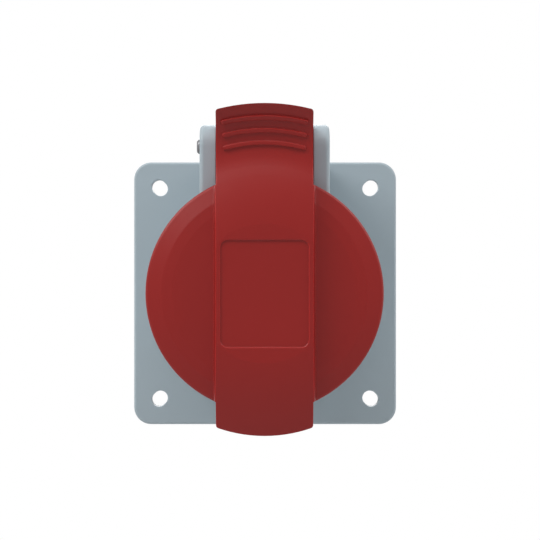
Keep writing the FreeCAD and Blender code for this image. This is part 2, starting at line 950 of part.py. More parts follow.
class Dome:
    """The strap's outer surface, or one that lies a wall's thickness behind it."""

    def __init__(self, wall):
        self.wall = as_size(wall)
        tilt = size("dome_tilt")
        end = size("dome_end_tilt")
        self.radius = size("dome_radius")
        self.top = size("facet_height")
        self.start = (size("facet_radius") - self.wall * sine(tilt), self.top - self.wall * cosine(tilt))
        self.centre = (
            size("facet_radius") - self.radius * sine(tilt),
            self.top - self.radius * cosine(tilt),
        )
        self.turn = self.at_tilt(end)
        self.scoop = size("scoop_radius")
        reach = self.radius + self.scoop
        self.scoop_centre = (self.centre[0] + reach * sine(end), self.centre[1] + reach * cosine(end))

    def at_tilt(self, tilt):
        """The point of the dome where it has sloped down by tilt."""
        inner = self.radius - self.wall
        return (self.centre[0] + inner * sine(tilt), self.centre[1] + inner * cosine(tilt))

    def dome_height(self, away):
        """How far in front of the lid's rear the dome lies, so far from the axis."""
        inner = self.radius - self.wall
        run = away - self.centre[0]
        return self.centre[1] + root(inner * inner - run * run)

    def scoop_height(self, away):
        outer = self.scoop + self.wall
        run = away - self.scoop_centre[0]
        return self.scoop_centre[1] - root(outer * outer - run * run)

    def profile(self, reach, floor, with_scoop):
        """The section from the axis out to reach and back along floor."""
        flat = self.top - self.wall
        corners = [(0, front(flat)), (self.start[0], front(self.start[1]), self.radius - self.wall)]
        if with_scoop:
            corners.append((self.turn[0], front(self.turn[1]), -(self.scoop + self.wall)))
            corners.append((reach, front(self.scoop_height(reach))))
        else:
            corners.append((reach, front(self.dome_height(reach))))
        corners.append((reach, front(floor)))
        corners.append((0, front(floor)))
        return corners


def strap_plan(name, reach, side):
    """Half of the strap seen from the front, with two round corners; side is 1 above the axis and -1 below."""
    body = new_body(name)
    plan = new_sketch(body, f"{name}_outline", "XZ_Plane", -front(0))
    corner = size("strap_corner")
    inner_x = lid_side - corner
    inner_reach = reach - corner
    straight = root(inner_reach * inner_reach - inner_x * inner_x)
    arc_x = inner_x * reach / inner_reach
    arc_z = straight * reach / inner_reach
    corners = [
        (-lid_side, 0),
        (lid_side, 0),
        (lid_side, straight, corner),
        (arc_x, arc_z, reach),
        (-arc_x, arc_z, corner),
        (-lid_side, straight),
    ]
    rise = size("lid_rise")
    outline(
        plan,
        [
            (place[0], place[1] * side + rise) + tuple(bend * side for bend in place[2:])
            for place in corners
        ],
    )
    pad(body, f"{name}_run", plan, size("facet_height") * PAST)
    return body


def strap_flare():
    """The strap's foot, which widens towards the disc."""
    body = new_body("strap_flare")
    section = new_sketch(body, "strap_flare_section", "XY_Plane", size("lid_rise"))
    foot = size("strap_foot_width") / 2
    crest = size("facet_height")
    outline(
        section,
        [
            (-foot, front(0)),
            (-foot, front(size("strap_foot"))),
            (-lid_side, front(crest)),
            (lid_side, front(crest)),
            (foot, front(size("strap_foot"))),
            (foot, front(0)),
        ],
    )
    pad(body, "strap_flare_run", section, size("disc_width") * PAST, both_ways=True)
    return body


def make_strap():
    """The strap's full body before it is hollowed, with its tab on top and its lip below."""
    outer = Dome(0)
    skirt = size("lid_skirt")
    upper = lid_revolve(
        "strap_upper_turning", outer.profile(size("tab_radius") + size("strap_corner"), skirt, True)
    )
    lower = lid_revolve(
        "strap_lower_turning", outer.profile(size("lip_radius") + size("strap_corner"), skirt, False)
    )
    over_disc = lid_revolve(
        "strap_foot_turning",
        outer.profile(size("disc_width") / 2 - size("disc_rim_chamfer"), skirt, False),
    )
    return fuse(
        "strap_full",
        [
            common("strap_upper", upper, strap_plan("strap_upper_plan", size("tab_radius"), 1)),
            common("strap_lower", lower, strap_plan("strap_lower_plan", size("lip_radius"), -1)),
            common("strap_foot", over_disc, strap_flare()),
        ],
    )


def make_disc():
    """The round of the lid, a shallow dome with a sloping rim and a pan behind."""
    edge = size("disc_rim_chamfer")
    wall = size("lid_wall")
    rim = size("disc_width") / 2
    crown = size("disc_crown")
    shoulder_r = size("disc_shoulder_radius")
    shoulder = size("disc_shoulder")
    fall = crown - shoulder
    crown_arc = (shoulder_r * shoulder_r + fall * fall) / (fall * 2)
    return lid_revolve(
        "lid_disc",
        [
            (0, front(crown - wall)),
            (0, front(crown), crown_arc),
            (shoulder_r, front(shoulder)),
            (size("disc_slope_radius"), front(size("disc_slope"))),
            (rim - edge, front(size("disc_rim"))),
            (rim, front(size("disc_rim") - edge)),
            (rim, front(0)),
            (size("pan_radius"), front(0)),
            (size("pan_radius"), front(crown - wall - fall)),
        ],
    )


def rib_ring(number, outer):
    """One of the raised ribs across the tab, as a full ring about the lid's axis."""
    away = size("rib_radius") - size("rib_pitch") * number
    half = size("rib_width") / 2
    face = outer.scoop_height(away)
    return lid_revolve(
        f"rib_ring{number + 1}",
        [
            (away - half, front(face - size("rib_height"))),
            (away - half, front(face + size("rib_height") / 2)),
            (away, front(face + size("rib_height"))),
            (away + half, front(face + size("rib_height") / 2)),
            (away + half, front(face - size("rib_height"))),
        ],
    )


def make_lid():
    rise = size("lid_rise")
    outer = Dome(0)
    inner = Dome(size("lid_wall"))
    floor = -size("lid_wall")
    half_hollow = lid_side - size("knuckle_wall")
    rim = size("disc_width") / 2
    far = size("tab_radius") * PAST

    def room(name, turning, half_width, low, high):
        """The part of a turned hollow that lies within half_width of the middle, from low to high."""
        box = block(f"{name}_box", -half_width, half_width, front(floor), front(size("tab_radius")), low, high)
        return common(name, turning, box)

    beyond = size("tab_radius") + size("lid_wall")
    inner_upper = lid_revolve("hollow_upper_turning", inner.profile(beyond, floor, True))
    inner_lower = lid_revolve(
        "hollow_lower_turning", inner.profile(size("lip_radius") - size("lid_wall"), floor, False)
    )
    tab_room = room(
        "tab_room", inner_upper, size("tab_radius"), pin_z + size("tab_room_start"), rise + far
    )
    body = fuse("lid_solid", [cut("strap_plain", make_strap(), tab_room), make_disc()])
    hinge_room = room(
        "hinge_room", inner_upper, half_hollow, rise + rim + size("hinge_room_gap"), rise + far
    )
    body = cut("lid_with_hinge_room", body, hinge_room)
    reach = size("strap_room_reach")
    strap_room = room("strap_room", inner_lower, half_hollow, rise - reach, rise + reach)
    body = cut("lid_with_strap_room", body, strap_room)
    lip_room = room(
        "lip_room", inner_lower, half_hollow, rise - far, rise - rim - size("hinge_room_gap")
    )
    body = cut("lid_with_lip_room", body, lip_room)

    arms = new_body("knuckle_arms")
    side = new_sketch(arms, "knuckle_side", "YZ_Plane")
    knuckle = size("knuckle_radius")
    arm_front = front(size("arm_reach"))
    arm_foot = rise + rim - size("disc_rim_chamfer")
    outline(
        side,
        [
            (front(0), arm_foot),
            (arm_front, arm_foot),
            (arm_front, pin_z + knuckle),
            (pin_y, pin_z + knuckle, -knuckle),
            (pin_y + knuckle, pin_z, -knuckle),
            (pin_y, pin_z - knuckle),
        ],
    )
    pad(arms, "knuckle_run", side, lid_side * 2, both_ways=True)
    between = new_sketch(arms, "spring_room_side", "YZ_Plane")
    outline(
        between,
        box_outline(
            front(size("facet_height")), pin_z - knuckle * 2, pin_y + knuckle * 2, pin_z + knuckle * 2
        ),
    )
    pocket(arms, "spring_room", between, half_hollow * 2, both_ways=True)

    label = new_body("label_recess")
    sketch = new_sketch(label, "label_outline", "XZ_Plane", -front(size("facet_height") - size("label_depth")))
    outline(
        sketch,
        [
            (corner[0], corner[1] + rise) + tuple(corner[2:])
            for corner in rounded_box(size("label_width") / 2, size("label_length") / 2, size("label_corner"))
        ],
    )
    pad(label, "label_room", sketch, size("facet_height"))

    ribs = []
    for number in range(RIBS):
        half = size("rib_half_length") - size("rib_half_step") * number
        window = block(
            f"rib_window{number + 1}", -half, half,
            lid_back, front(size("tab_radius")), rise, rise + size("rib_radius") * PAST,
        )
        ribs.append(common(f"rib{number + 1}", rib_ring(number, outer), window))

    hook = block(
        "plug_hook", -size("hook_width") / 2, size("hook_width") / 2, lid_back + size("hook_drop"),
        front(size("disc_shoulder") - size("lid_wall") / 2), rise + size("hook_inner"),
        rise + size("hook_outer"),
    )
    body = cut("lid_with_label", body, label)
    body = fuse("lid_fused", [body, arms, hook] + ribs)

    groove = new_body("seal_groove")
    section = new_sketch(groove, "seal_groove_section", "XY_Plane")
    outline(
        section, box_outline(size("seal_inner"), front(size("seal_depth")), size("seal_outer"), front(-1))
    )
    turn(groove, "seal_groove_turning", section)
    body = cut("lid_with_groove", body, groove)

    bore = new_body("knuckle_bore")
    sketch = new_sketch(bore, "knuckle_bore_outline", "YZ_Plane")
    circle(sketch, (pin_y, pin_z), pin_radius + size("hinge_play"))
    pad(bore, "knuckle_bore_rod", sketch, size("bracket_width"), both_ways=True)
    return cut("lid_bored", body, bore)


def make_lid_seal():
    body = new_body("lid_seal")
    section = new_sketch(body, "lid_seal_section", "XY_Plane")
    outline(
        section,
        box_outline(
            size("seal_inner"), front(size("seal_depth")), size("seal_outer"), lid_back + size("seal_proud")
        ),
    )
    turn(body, "lid_seal_turning", section)
    return body


# Closing spring, wound round the pin, with one leg on the collar and one behind the tab


def make_spring():
    """The coil, swept along a helix, with a straight leg from each end of it."""
    wire = size("spring_wire") / 2
    coil = size("spring_radius")
    half = size("spring_span") / 2
    frame_angle = size("spring_frame_angle")
    lid_angle = size("spring_lid_angle")
    turns = size("spring_turns") + (frame_angle - lid_angle) / 360

    helix = doc.addObject("Part::Helix", "spring_line")
    bind(helix, "Radius", coil)
    bind(helix, "Height", half * 2)
    bind(helix, "Pitch", half * 2 / turns)
    first = math.radians(180 - frame_angle.value)
    outward = Vector(0, math.cos(first), math.sin(first))
    along = Vector(0, -math.sin(first), math.cos(first))
    helix.Placement = FreeCAD.Placement(
        Vector(0, 0, 0), FreeCAD.Rotation(outward, along, Vector(1, 0, 0), "ZXY")
    )
    bind(helix, "Placement.Base.x", -half)
    bind(helix, "Placement.Base.y", pin_y)
    bind(helix, "Placement.Base.z", pin_z)
    ring = doc.addObject("Part::RegularPolygon", "spring_wire_section")
    ring.Polygon = SPRING_WIRE_SIDES
    bind(ring, "Circumradius", wire)
    start = Vector(-half.value, pin_y.value, pin_z.value) + outward * coil.value
    ring.Placement = FreeCAD.Placement(start, FreeCAD.Rotation(Vector(1, 0, 0), outward, along, "ZXY"))
    doc.recompute()
    sweep = doc.addObject("Part::Sweep", "spring_coil")
    sweep.Sections = [ring]
    sweep.Spine = (helix, [f"Edge{i}" for i in range(1, len(helix.Shape.Edges) + 1)])
    sweep.Solid = True
    sweep.Frenet = True

    def leg(name, across, angle, toward, length):
        """A straight leg that leaves the coil at angle; toward is 1 to the rear and -1 ahead."""
        item = doc.addObject("Part::Prism", name)
        item.Polygon = SPRING_WIRE_SIDES
        bind(item, "Circumradius", wire)
        bind(item, "Height", length + wire)
        turned = math.radians(angle.value)
        away = Vector(0, toward * math.sin(turned), toward * math.cos(turned))
        item.Placement = FreeCAD.Placement(Vector(0, 0, 0), FreeCAD.Rotation(Vector(0, 0, 1), away))
        back = wire * toward
        bind(item, "Placement.Base.x", across)
        bind(item, "Placement.Base.y", pin_y - coil * cosine(angle) - back * sine(angle))
        bind(item, "Placement.Base.z", pin_z + coil * sine(angle) - back * cosine(angle))
        return item

    rest_z = root(collar_outer * collar_outer - half * half) + wire + size("spring_play")
    drop = pin_z + coil * sine(frame_angle) - rest_z
    heel = leg("spring_heel", -half, frame_angle, 1, drop / -cosine(frame_angle))
    toe = leg("spring_toe", half, lid_angle, -1, size("spring_lid_leg"))
    item = fuse("spring_whole", [sweep, heel, toe])
    item.Refine = False
    item.Label = "lid_spring"
    return item


housing = make_housing()
flange_seal = make_flange_ring()
carrier_round = make_carriers()
insert_flange = make_insert_flange()
terminal_block = make_terminal_block()
pin = make_pin()
carriers = []
terminals = []
contacts = []
clips = []
clamp_screws = []
for name, number in POLES.items():
    carriers.append(cell(f"carrier_{name}", carrier_round, number, insert_face, flange_back - insert_face))
    terminals.append(cell(f"terminal_{name}", terminal_block, number, insert_rear, size("terminal_length")))
    contact = make_contact(name)
    turned_about_axis(contact, number, len(POLES))
    contacts.append(contact)
    clip = make_clip(name)
    turned_about_axis(clip, number, len(POLES))
    clips.append(clip)
    screw = make_clamp_screw(name)
    turned_about_axis(screw, number, len(POLES))
    clamp_screws.append(screw)
insert_screws = []
for number in range(INSERT_SCREWS):
    screw = make_insert_screw(number + 1)
    turned_about_axis(screw, number, INSERT_SCREWS, start=0.0)
    insert_screws.append(screw)
lid = make_lid()
lid.Label = "lid"
lid_seal = make_lid_seal()
spring = make_spring()
clamp_screw_group = group("clamp_screws", clamp_screws)
insert_screw_group = group("insert_screws", insert_screws)
doc.recompute()

# Check the document and write one file for each piece

for item in doc.Objects:
    if "Invalid" in item.State or "Error" in item.State:
        raise RuntimeError(f"{item.Name} did not build: {item.State}")
pieces = [housing, flange_seal, insert_flange, pin, spring, lid, lid_seal]
pieces += carriers + terminals + contacts + clips + [clamp_screw_group, insert_screw_group]
for piece in pieces:
    if piece.Shape.isNull() or not piece.Shape.isValid():
        raise RuntimeError(f"{piece.Label} is not a valid solid")
    piece.Shape.exportStep(f"parts/{piece.Label}.step")
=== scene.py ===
"""Looks of an industrial panel socket: its materials, its finer pieces, the studio and the camera."""
import json
import logging
import math
from dataclasses import dataclass
from enum import Enum
from typing import Sequence

import bmesh
import bpy
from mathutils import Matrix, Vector


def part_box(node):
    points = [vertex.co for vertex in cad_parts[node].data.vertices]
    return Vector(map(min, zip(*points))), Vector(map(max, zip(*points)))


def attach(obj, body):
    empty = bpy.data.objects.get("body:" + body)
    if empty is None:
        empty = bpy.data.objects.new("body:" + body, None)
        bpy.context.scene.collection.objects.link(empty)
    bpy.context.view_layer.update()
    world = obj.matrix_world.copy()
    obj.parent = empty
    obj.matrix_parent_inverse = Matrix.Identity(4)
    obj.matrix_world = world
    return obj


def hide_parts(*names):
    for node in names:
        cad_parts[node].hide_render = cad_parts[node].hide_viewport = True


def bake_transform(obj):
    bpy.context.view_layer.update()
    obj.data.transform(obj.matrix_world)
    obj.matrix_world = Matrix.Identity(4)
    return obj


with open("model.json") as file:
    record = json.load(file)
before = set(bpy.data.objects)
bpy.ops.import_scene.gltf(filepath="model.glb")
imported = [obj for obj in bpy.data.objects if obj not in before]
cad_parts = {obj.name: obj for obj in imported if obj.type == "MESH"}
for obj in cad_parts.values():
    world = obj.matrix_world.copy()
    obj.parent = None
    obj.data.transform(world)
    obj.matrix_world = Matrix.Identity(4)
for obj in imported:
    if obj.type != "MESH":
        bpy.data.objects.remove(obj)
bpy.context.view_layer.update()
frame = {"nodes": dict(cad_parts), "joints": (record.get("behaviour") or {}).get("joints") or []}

LOG = logging.getLogger("panel_socket")

Colour = tuple[float, float, float]
Point = tuple[float, float, float]

WHITE: Colour = (1.0, 1.0, 1.0)
SHARP_ANGLE = math.radians(50)

# The curve of a screen: straight up to the knee, and a power above it.
SCREEN_TOP = 255
SCREEN_KNEE = 0.04045
SCREEN_SLOPE = 12.92
SCREEN_OFFSET = 0.055
SCREEN_POWER = 2.4

# Sockets of the mix node, which only have numbers for a colour.
MIX_FIRST = 6
MIX_SECOND = 7
MIX_RESULT = 2


def from_screen(red: int, green: int, blue: int) -> Colour:
    """Turn a colour as a screen shows it, 0 to 255, into the linear one that a shader takes.

    Args:
        red: Red as shown.
        green: Green as shown.
        blue: Blue as shown.

    Returns:
        The linear colour.
    """

    def linear(shown: int) -> float:
        """Undo the screen's curve for one channel.

        Args:
            shown: The channel as shown.

        Returns:
            The channel's share of full light.
        """
        share = shown / SCREEN_TOP
        if share <= SCREEN_KNEE:
            return share / SCREEN_SLOPE
        return ((share + SCREEN_OFFSET) / (1 + SCREEN_OFFSET)) ** SCREEN_POWER

    return (linear(red), linear(green), linear(blue))


class Body(Enum):
    """The two rigid bodies of the frame."""

    FIXED = "fixed"
    LID = "lid"


class Pole(Enum):
    """The five contacts, as the CAD nodes name them."""

    EARTH = "pe"
    FIRST = "l1"
    SECOND = "l2"
    THIRD = "l3"
    NEUTRAL = "n"


class Sheen(Enum):
    """How shiny a moulded surface is, as the roughness of its shader."""

    SATIN = 0.36
    SOFT = 0.4
    DULL = 0.72


class TurningAxis(Enum):
    """Which way a turned piece's axis lies, as the stretch of its tool marks."""

    ACROSS = (1.0, 0.05, 0.05)
    DEEP = (0.05, 1.0, 0.05)
    NONE = (1.0, 1.0, 1.0)


def put(
    tree: bpy.types.NodeTree, node: bpy.types.Node, name: str | int, value: object
) -> None:
    """Link a socket to a node's input, or set the input's own value.

    Args:
        tree: The tree that holds the node.
        node: The node whose input is set.
        name: The input's name or number.
        value: A socket to link, or a number, colour or vector.
    """
    socket = node.inputs[name]
    if isinstance(value, bpy.types.NodeSocket):
        tree.links.new(value, socket)
    elif isinstance(value, tuple) and len(value) == 3 and socket.type == "RGBA":
        socket.default_value = (*value, 1.0)
    else:
        socket.default_value = value


def add_node(tree: bpy.types.NodeTree, kind: str, **inputs: object) -> bpy.types.Node:
    """Add a shader node and fill in some of its inputs.

    Args:
        tree: The tree that the node goes into.
        kind: The node's type name.
        **inputs: Values or sockets by input name, with underscores for spaces.

    Returns:
        The new node.
    """
    node = tree.nodes.new(kind)
    for name, value in inputs.items():
        put(tree, node, name.replace("_", " "), value)
    return node


def math_node(
    tree: bpy.types.NodeTree, operation: str, *values: object
) -> bpy.types.NodeSocket:
    """Add a math node.

    Args:
        tree: The tree that the node goes into.
        operation: The operation's name.
        *values: Numbers or sockets, in the order of the node's inputs.

    Returns:
        The node's result.
    """
    node = tree.nodes.new("ShaderNodeMath")
    node.operation = operation
    for index, value in enumerate(values):
        put(tree, node, index, value)
    return node.outputs[0]


def vector_node(
    tree: bpy.types.NodeTree, operation: str, *sockets: bpy.types.NodeSocket
) -> bpy.types.Node:
    """Add a vector math node.

    Args:
        tree: The tree that the node goes into.
        operation: The operation's name.
        *sockets: Sockets to link, in the order of the node's inputs.

    Returns:
        The node.
    """
    node = tree.nodes.new("ShaderNodeVectorMath")
    node.operation = operation
    for index, socket in enumerate(sockets):
        tree.links.new(socket, node.inputs[index])
    return node


def mix_colours(
    tree: bpy.types.NodeTree,
    share: bpy.types.NodeSocket,
    first: bpy.types.NodeSocket,
    second: bpy.types.NodeSocket,
) -> bpy.types.NodeSocket:
    """Blend two colours.

    Args:
        tree: The tree that the node goes into.
        share: How much of the second colour shows.
        first: The colour at nothing.
        second: The colour at one.

    Returns:
        The blended colour.
    """
    mix = tree.nodes.new("ShaderNodeMix")
    mix.data_type = "RGBA"
    tree.links.new(share, mix.inputs["Factor"])
    tree.links.new(first, mix.inputs[MIX_FIRST])
    tree.links.new(second, mix.inputs[MIX_SECOND])
    return mix.outputs[MIX_RESULT]


def mix_shaders(
    tree: bpy.types.NodeTree,
    share: bpy.types.NodeSocket,
    first: bpy.types.Node,
    second: bpy.types.Node,
) -> bpy.types.NodeSocket:
    """Blend two shaders.

    Args:
        tree: The tree that the node goes into.
        share: How much of the second shader shows.
        first: The shader at nothing.
        second: The shader at one.

    Returns:
        The blended shader.
    """
    mix = tree.nodes.new("ShaderNodeMixShader")
    tree.links.new(share, mix.inputs[0])
    tree.links.new(first.outputs[0], mix.inputs[1])
    tree.links.new(second.outputs[0], mix.inputs[2])
    return mix.outputs[0]


def object_place(tree: bpy.types.NodeTree) -> bpy.types.NodeSocket:
    """Add a node for the place on the object.

    Args:
        tree: The tree that the node goes into.

    Returns:
        The place in the object's own frame.
    """
    return tree.nodes.new("ShaderNodeTexCoord").outputs["Object"]


def new_group(
    name: str, inputs: dict[str, tuple[str, object]], outputs: dict[str, str]
) -> tuple[bpy.types.NodeTree, bpy.types.Node, bpy.types.Node]:
    """Start a shader node group with named sockets.

    Args:
        name: The group's name.
        inputs: Socket type and default value by name.
        outputs: Socket type by name.

    Returns:
        The group's tree, its input node and its output node.
    """
    tree = bpy.data.node_groups.new(name, "ShaderNodeTree")
    for label, (kind, default) in inputs.items():
        socket = tree.interface.new_socket(label, in_out="INPUT", socket_type=kind)
        socket.default_value = default
    for label, kind in outputs.items():
        tree.interface.new_socket(label, in_out="OUTPUT", socket_type=kind)
    return tree, tree.nodes.new("NodeGroupInput"), tree.nodes.new("NodeGroupOutput")


def place_group(
    tree: bpy.types.NodeTree, group: bpy.types.NodeTree, **inputs: object
) -> bpy.types.Node:
    """Put a shared group into a material.

    Args:
        tree: The material's tree.
        group: The shared group.
        **inputs: Values or sockets by input name, with underscores for spaces.

    Returns:
        The group node.
    """
    node = tree.nodes.new("ShaderNodeGroup")
    node.node_tree = group
    for name, value in inputs.items():
        put(tree, node, name.replace("_", " "), value)
    return node


class Effects:
    """The shader node groups that several materials share, each of which is built once."""

    NOISE_MIDDLE = 0.5
    FINE_DETAIL = 2.0
    COARSE_SHARE = 0.04
    COARSE_DETAIL = 3.0
    FLOW_DETAIL = 4.0
    FLOW_TWIST = 0.6
    MARK_DETAIL = 3.0
    EDGE_SAMPLES = 8
    EDGE_GAIN = 4.0
    SHADE_SAMPLES = 6
    SHADE_REACH = 2.0
    SHADE_POWER = 6.0

    def __init__(self) -> None:
        """Build the groups."""
        self.grain = self._build_grain()
        self.mottle = self._build_mottle()
        self.round_edge = self._build_round_edge()
        self.painted_edge_highlight = self._build_painted_edge_highlight()
        self.tool_marks = self._build_tool_marks()

    @classmethod
    def _gloss(
        cls, tree: bpy.types.NodeTree, source: bpy.types.Node, noise: bpy.types.NodeSocket
    ) -> bpy.types.NodeSocket:
        """Let a noise raise and lower the gloss round its middle value.

        Args:
            tree: The group's tree.
            source: The group's input node, with Gloss and Gloss Change.
            noise: The noise, from nothing to one.

        Returns:
            The roughness.
        """
        offset = math_node(tree, "SUBTRACT", noise, cls.NOISE_MIDDLE)
        swing = math_node(tree, "MULTIPLY", offset, source.outputs["Gloss Change"])
        return math_node(tree, "ADD", swing, source.outputs["Gloss"])

    @classmethod
    def _build_grain(cls) -> bpy.types.NodeTree:
        """The fine spark-eroded grain of a mould, as a height and as a change of gloss.

        Returns:
            The group's tree.
        """
        tree, source, target = new_group(
            "mould_grain",
            {
                "Scale": ("NodeSocketFloat", 2200.0),
                "Gloss": ("NodeSocketFloat", 0.45),
                "Gloss Change": ("NodeSocketFloat", 0.05),
            },
            {"Height": "NodeSocketFloat", "Roughness": "NodeSocketFloat"},
        )
        place = object_place(tree)
        scale = source.outputs["Scale"]
        fine = add_node(
            tree, "ShaderNodeTexNoise", Vector=place, Scale=scale, Detail=cls.FINE_DETAIL
        )
        coarse = add_node(
            tree, "ShaderNodeTexNoise", Vector=place,
            Scale=math_node(tree, "MULTIPLY", scale, cls.COARSE_SHARE), Detail=cls.COARSE_DETAIL,
        )
        put(tree, target, "Height", fine.outputs["Fac"])
        put(tree, target, "Roughness", cls._gloss(tree, source, coarse.outputs["Fac"]))
        return tree

    @classmethod
    def _build_mottle(cls) -> bpy.types.NodeTree:
        """Slow, faint shifts of colour, as pigment and flow leave them in a moulding.

        Returns:
            The group's tree.
        """
        tree, source, target = new_group(
            "pigment_flow",
            {
                "Colour": ("NodeSocketColor", (0.5, 0.5, 0.5, 1.0)),
                "Other": ("NodeSocketColor", (0.4, 0.4, 0.4, 1.0)),
                "Scale": ("NodeSocketFloat", 30.0),
            },
            {"Colour": "NodeSocketColor"},
        )
        flow = add_node(
            tree, "ShaderNodeTexNoise", Vector=object_place(tree),
            Scale=source.outputs["Scale"], Detail=cls.FLOW_DETAIL, Distortion=cls.FLOW_TWIST,
        )
        mixed = mix_colours(
            tree, flow.outputs["Fac"], source.outputs["Colour"], source.outputs["Other"]
        )
        put(tree, target, "Colour", mixed)
        return tree

    @classmethod
    def _build_round_edge(cls) -> bpy.types.NodeTree:
        """The normal of a surface whose edges have a small radius, and a mask of its outer edges.

        The shade in a corner keeps inner edges out of the mask.

        Returns:
            The group's tree.
        """
        tree, source, target = new_group(
            "round_edge",
            {"Radius": ("NodeSocketFloat", 0.0005)},
            {"Normal": "NodeSocketVector", "Mask": "NodeSocketFloat"},
        )
        bevel = add_node(tree, "ShaderNodeBevel", Radius=source.outputs["Radius"])
        bevel.samples = cls.EDGE_SAMPLES
        plain = tree.nodes.new("ShaderNodeNewGeometry").outputs["Normal"]
        match = vector_node(tree, "DOT_PRODUCT", bevel.outputs["Normal"], plain)
        turned = math_node(tree, "SUBTRACT", 1.0, match.outputs["Value"])
        gained = math_node(tree, "MULTIPLY", turned, cls.EDGE_GAIN)
        strong = math_node(tree, "MINIMUM", gained, 1.0)
        reach = math_node(tree, "MULTIPLY", source.outputs["Radius"], cls.SHADE_REACH)
        shade = add_node(tree, "ShaderNodeAmbientOcclusion", Distance=reach)
        shade.samples = cls.SHADE_SAMPLES
        outer = math_node(tree, "POWER", shade.outputs["AO"], cls.SHADE_POWER)
        put(tree, target, "Normal", bevel.outputs["Normal"])
        # The mask marks the outer edges for the painted edge highlight.
        put(tree, target, "Mask", math_node(tree, "MULTIPLY", strong, outer))
        return tree

    @staticmethod
    def _build_painted_edge_highlight() -> bpy.types.NodeTree:
        """A painted highlight: a paler colour along the outer edges, standing in for the light that
        rounded edges catch.

        Returns:
            The group's tree.
        """
        tree, source, target = new_group(
            "painted_edge_highlight",
            {
                "Colour": ("NodeSocketColor", (0.5, 0.5, 0.5, 1.0)),
                "Edge": ("NodeSocketColor", (0.7, 0.7, 0.7, 1.0)),
                "Share": ("NodeSocketFloat", 0.3),
                "Mask": ("NodeSocketFloat", 0.0),
            },
            {"Colour": "NodeSocketColor"},
        )
        share = math_node(tree, "MULTIPLY", source.outputs["Mask"], source.outputs["Share"])
        mixed = mix_colours(tree, share, source.outputs["Colour"], source.outputs["Edge"])
        put(tree, target, "Colour", mixed)
        return tree

    @classmethod
    def _build_tool_marks(cls) -> bpy.types.NodeTree:
        """Fine scratches stretched along one way, as turning and grinding leave them.

        Returns:
            The group's tree.
        """
        tree, source, target = new_group(
            "tool_marks",
            {
                "Stretch": ("NodeSocketVector", (1.0, 1.0, 1.0)),
                "Scale": ("NodeSocketFloat", 1500.0),
                "Gloss": ("NodeSocketFloat", 0.3),
                "Gloss Change": ("NodeSocketFloat", 0.15),
            },
            {"Height": "NodeSocketFloat", "Roughness": "NodeSocketFloat"},
        )
        stretch = vector_node(tree, "MULTIPLY", object_place(tree), source.outputs["Stretch"])
        marks = add_node(
            tree, "ShaderNodeTexNoise", Vector=stretch.outputs[0],
            Scale=source.outputs["Scale"], Detail=cls.MARK_DETAIL,
        )
        put(tree, target, "Height", marks.outputs["Fac"])
        put(tree, target, "Roughness", cls._gloss(tree, source, marks.outputs["Fac"]))
        return tree


def new_material(name: str) -> tuple[bpy.types.Material, bpy.types.NodeTree, bpy.types.Node]:
    """Start a material that has only a Principled shader.

    Args:
        name: The material's name.

    Returns:
        The material, its tree and the shader.
    """
    material = bpy.data.materials.new(name)
    material.use_nodes = True
    tree = material.node_tree
    tree.nodes.clear()
    shader = tree.nodes.new("ShaderNodeBsdfPrincipled")
    output = tree.nodes.new("ShaderNodeOutputMaterial")
    tree.links.new(shader.outputs["BSDF"], output.inputs["Surface"])
    return material, tree, shader


@dataclass(frozen=True)
class MouldedPlastic:
    """A moulded plastic: a faint grain, edges of a small radius and a painted highlight along its
    outer edges.
    """

    name: str
    colour: Colour
    other: Colour
    # edge: the colour of the painted highlight along the outer edges
    edge: Colour
    sheen: Sheen = Sheen.SATIN
    specular: float = 0.3
    grain_depth: float = 0.00001
    grain_strength: float = 0.35
    edge_radius: float = 0.0005
    highlight_share: float = 0.35

    def build(self, effects: Effects) -> bpy.types.Material:
        """Make the material.

        Args:
            effects: The shared node groups.

        Returns:
            The material.
        """
        material, tree, shader = new_material(self.name)
        flow = place_group(tree, effects.mottle, Colour=self.colour, Other=self.other)
        grain = place_group(tree, effects.grain, Gloss=self.sheen.value)
        edge = place_group(tree, effects.round_edge, Radius=self.edge_radius)
        # Painted highlight: the base colour turns paler along the outer edges where the round edge
        # mask is high.
        with_highlight = place_group(
            tree, effects.painted_edge_highlight, Colour=flow.outputs["Colour"], Edge=self.edge,
            Share=self.highlight_share, Mask=edge.outputs["Mask"],
        )
        bump = add_node(
            tree, "ShaderNodeBump", Strength=self.grain_strength, Distance=self.grain_depth,
            Height=grain.outputs["Height"], Normal=edge.outputs["Normal"],
        )
        put(tree, shader, "Base Color", with_highlight.outputs["Colour"])
        put(tree, shader, "Roughness", grain.outputs["Roughness"])
        put(tree, shader, "Normal", bump.outputs["Normal"])
        put(tree, shader, "Specular IOR Level", self.specular)
        return material


@dataclass(frozen=True)
class SealRubber:
    """A soft rubber: dull, with a coarser skin than the plastics and a faint grey bloom."""

    name: str
    colour: Colour
    bloom: Colour
    bloom_scale: float = 160.0
    skin_scale: float = 900.0
    skin_depth: float = 0.00003
    skin_strength: float = 0.5
    specular: float = 0.25

    def build(self, effects: Effects) -> bpy.types.Material:
        """Make the material.

        Args:
            effects: The shared node groups.

        Returns:
            The material.
        """
        material, tree, shader = new_material(self.name)
        flow = place_group(
            tree, effects.mottle, Colour=self.colour, Other=self.bloom, Scale=self.bloom_scale
        )
        skin = place_group(
            tree, effects.grain, Scale=self.skin_scale, Gloss=Sheen.DULL.value
        )
        bump = add_node(
            tree, "ShaderNodeBump", Strength=self.skin_strength, Distance=self.skin_depth,
            Height=skin.outputs["Height"],
        )
        put(tree, shader, "Base Color", flow.outputs["Colour"])
        put(tree, shader, "Roughness", skin.outputs["Roughness"])
        put(tree, shader, "Normal", bump.outputs["Normal"])
        put(tree, shader, "Specular IOR Level", self.specular)
        return material


